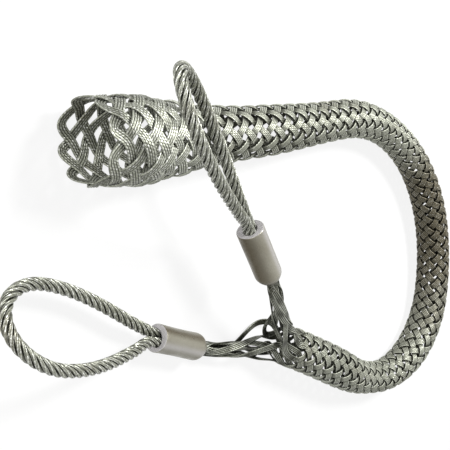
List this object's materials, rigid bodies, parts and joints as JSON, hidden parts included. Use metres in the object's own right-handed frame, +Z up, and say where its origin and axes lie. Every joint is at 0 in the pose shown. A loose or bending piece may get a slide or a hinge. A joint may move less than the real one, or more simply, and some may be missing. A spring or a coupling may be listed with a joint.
{
  "type": "cable pulling grip",
  "caption": "Open ended woven wire sock that grips a cable when pulled; the mesh forks into legs, each pressed into a ferrule that carries a wire rope eye.",
  "frame": {"origin": "middle of the footprint, on the ground it lies on", "axes": "+X along the sock's straight run from the mouth towards the bend, +Y from the forked end towards the straight run, +Z up"},
  "size_m": [0.4844, 0.297, 0.0841],
  "materials": {
    "woven_wire": "galvanised steel wire, dull with bright wear",
    "wire_rope": "galvanised wire rope, bright on the crowns",
    "ferrule_metal": "pressed aluminium, satin with scuffs"
  },
  "bodies": {
    "root": {"sock_basket": "woven_wire", "sock_run": "woven_wire", "sock_bend": "woven_wire", "sock_tail": "woven_wire", "left_leg_strand_1": "woven_wire", "left_leg_strand_2": "woven_wire", "left_leg_strand_3": "woven_wire", "left_leg_strand_4": "woven_wire", "left_leg_strand_5": "woven_wire", "left_leg_strand_6": "woven_wire", "left_leg_strand_7": "woven_wire", "left_leg_strand_8": "woven_wire", "right_leg_strand_1": "woven_wire", "right_leg_strand_2": "woven_wire", "right_leg_strand_3": "woven_wire", "right_leg_strand_4": "woven_wire", "right_leg_strand_5": "woven_wire", "right_leg_strand_6": "woven_wire", "right_leg_strand_7": "woven_wire", "right_leg_strand_8": "woven_wire", "left_ferrule": "ferrule_metal", "right_ferrule": "ferrule_metal", "left_eye_rope": "wire_rope", "right_eye_rope": "wire_rope"}
  },
  "joints": []
}
